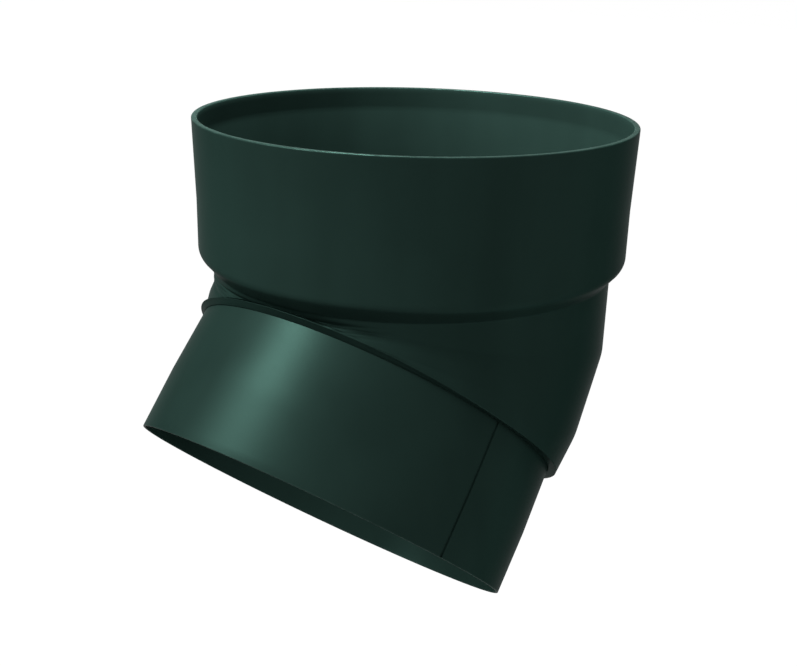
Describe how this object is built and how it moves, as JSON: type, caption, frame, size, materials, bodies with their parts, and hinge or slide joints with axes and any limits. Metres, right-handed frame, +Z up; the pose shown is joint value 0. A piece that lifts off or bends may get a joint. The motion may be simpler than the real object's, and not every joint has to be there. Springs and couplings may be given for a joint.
{
  "type": "downspout elbow",
  "caption": "Round rainwater downpipe elbow in painted sheet steel: a rimmed socket above, a smooth kneed bend and a seamed spigot that enters the pipe below.",
  "frame": {"origin": "on the socket's axis, at the foot of the socket's straight band, where the shoulder begins", "axes": "+Z up along the socket's axis, out of its mouth; the spigot leaves towards +X and down, in the XZ plane"},
  "size_m": [0.1281, 0.11, 0.1275],
  "materials": {
    "painted_steel": "dark moss green, satin coil coating"
  },
  "bodies": {
    "root": {"knee_body": "painted_steel", "spigot_tube": "painted_steel"}
  },
  "joints": []
}
